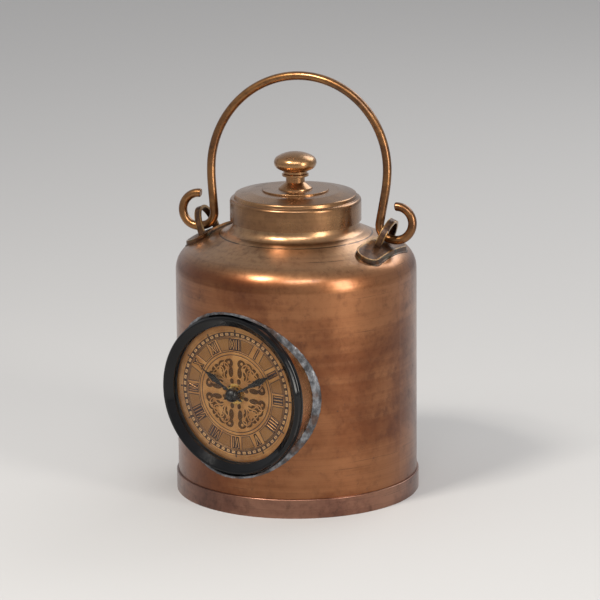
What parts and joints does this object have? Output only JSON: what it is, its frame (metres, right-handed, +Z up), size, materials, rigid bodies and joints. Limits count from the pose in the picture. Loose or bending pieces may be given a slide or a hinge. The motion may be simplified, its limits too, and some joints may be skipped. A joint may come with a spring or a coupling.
{
  "type": "table clock",
  "caption": "Free-standing table clock: a lidded copper milk can with a swing handle and a round clock set in its side through a soldered collar.",
  "frame": {"origin": "centre of the can's standing circle, on the surface it stands on", "axes": "+Z up the can's axis, -Y out through the clock's face, +X to the clock's right hand as seen from its front"},
  "size_m": [0.167, 0.171, 0.2831],
  "materials": {
    "copper_body": "aged reddish copper, spun lines, satin",
    "copper_base": "dull worn copper",
    "copper_lid": "aged brown-gold copper, satin",
    "copper_polished": "bright rolled copper strip",
    "solder": "rough grey solder",
    "lug_brass": "dark aged brass with worn edges",
    "handle_rod": "aged bronze-coloured rod",
    "bezel_black": "gloss black",
    "lens_clear": "clear domed lens",
    "dial_copper": "antique copper-coloured dial",
    "hand_black": "black painted hands",
    "black_plastic": "moulded black plastic",
    "rubber_black": "soft black rubber",
    "gear_plastic": "natural moulded gears",
    "yellow_brass": "machined brass",
    "spring_steel": "plated spring steel",
    "board_green": "green circuit board",
    "coil_wire": "enamelled winding",
    "battery_wrap": "plain dark sleeve"
  },
  "bodies": {
    "pot": {"can_shell": "copper_body", "base_ring": "copper_base", "bottom_plate": "copper_base", "neck_rim": "copper_lid", "clock_collar": "copper_polished", "solder_bead": "solder", "lug_braze_right": "lug_brass", "lug_braze_left": "lug_brass", "lug_plate_right": "lug_brass", "lug_plate_left": "lug_brass", "lug_loop_right": "lug_brass", "lug_loop_left": "lug_brass"},
    "handle": {"bail_wire": "handle_rod"},
    "lid": {"lid_shell": "copper_lid", "lid_disc": "copper_lid", "lid_knob": "copper_lid", "knob_screw": "spring_steel", "knob_washer": "spring_steel"},
    "insert": {"bezel": "bezel_black", "lens": "lens_clear", "lens_gasket": "rubber_black", "dial_ring": "black_plastic", "dial": "dial_copper", "clock_pan": "black_plastic", "grip_band": "rubber_black", "movement_front": "black_plastic", "movement_back": "black_plastic", "threaded_bush": "yellow_brass", "bush_washer": "yellow_brass", "bush_nut": "yellow_brass", "circuit_board": "board_green", "stator": "spring_steel", "coil": "coil_wire", "coil_core": "spring_steel", "contact_plus": "spring_steel", "contact_minus": "spring_steel"},
    "cell": {"battery": "battery_wrap"},
    "minute_train": {"minute_arbor": "gear_plastic", "minute_hand": "hand_black", "hand_cap": "hand_black"},
    "hour_train": {"hour_wheel": "gear_plastic", "hour_hand": "hand_black"},
    "setting": {"minute_wheel": "gear_plastic", "set_knob": "black_plastic"}
  },
  "joints": [
    {"name": "handle_swing", "type": "hinge", "parent": "pot", "child": "handle", "pos_m": [0, 0, 0.177], "axis": [0.9781, 0.2079, 0], "range_deg": [-54, 70]},
    {"name": "lid_lift", "type": "slide", "parent": "pot", "child": "lid", "axis": [0, 0, 1], "range_m": [0, 0.04]},
    {"name": "insert_pull", "type": "slide", "parent": "pot", "child": "insert", "axis": [0, -1, 0], "range_m": [0, 0.03]},
    {"name": "battery_out", "type": "slide", "parent": "insert", "child": "cell", "axis": [0, 1, 0], "range_m": [0, 0.02]},
    {"name": "minute_turn", "type": "hinge", "parent": "insert", "child": "minute_train", "pos_m": [0, -0.0757, 0.081], "axis": [0, 1, 0], "continuous": true},
    {"name": "hour_turn", "type": "hinge", "parent": "insert", "child": "hour_train", "pos_m": [0, -0.0757, 0.081], "axis": [0, 1, 0], "continuous": true},
    {"name": "setting_turn", "type": "hinge", "parent": "insert", "child": "setting", "pos_m": [0, -0.0757, 0.093], "axis": [0, 1, 0], "continuous": true}
  ],
  "couplings": [
    {"joint": "hour_turn", "follows": "minute_turn", "ratio": 0.083333},
    {"joint": "setting_turn", "follows": "minute_turn", "ratio": -0.33333}
  ]
}
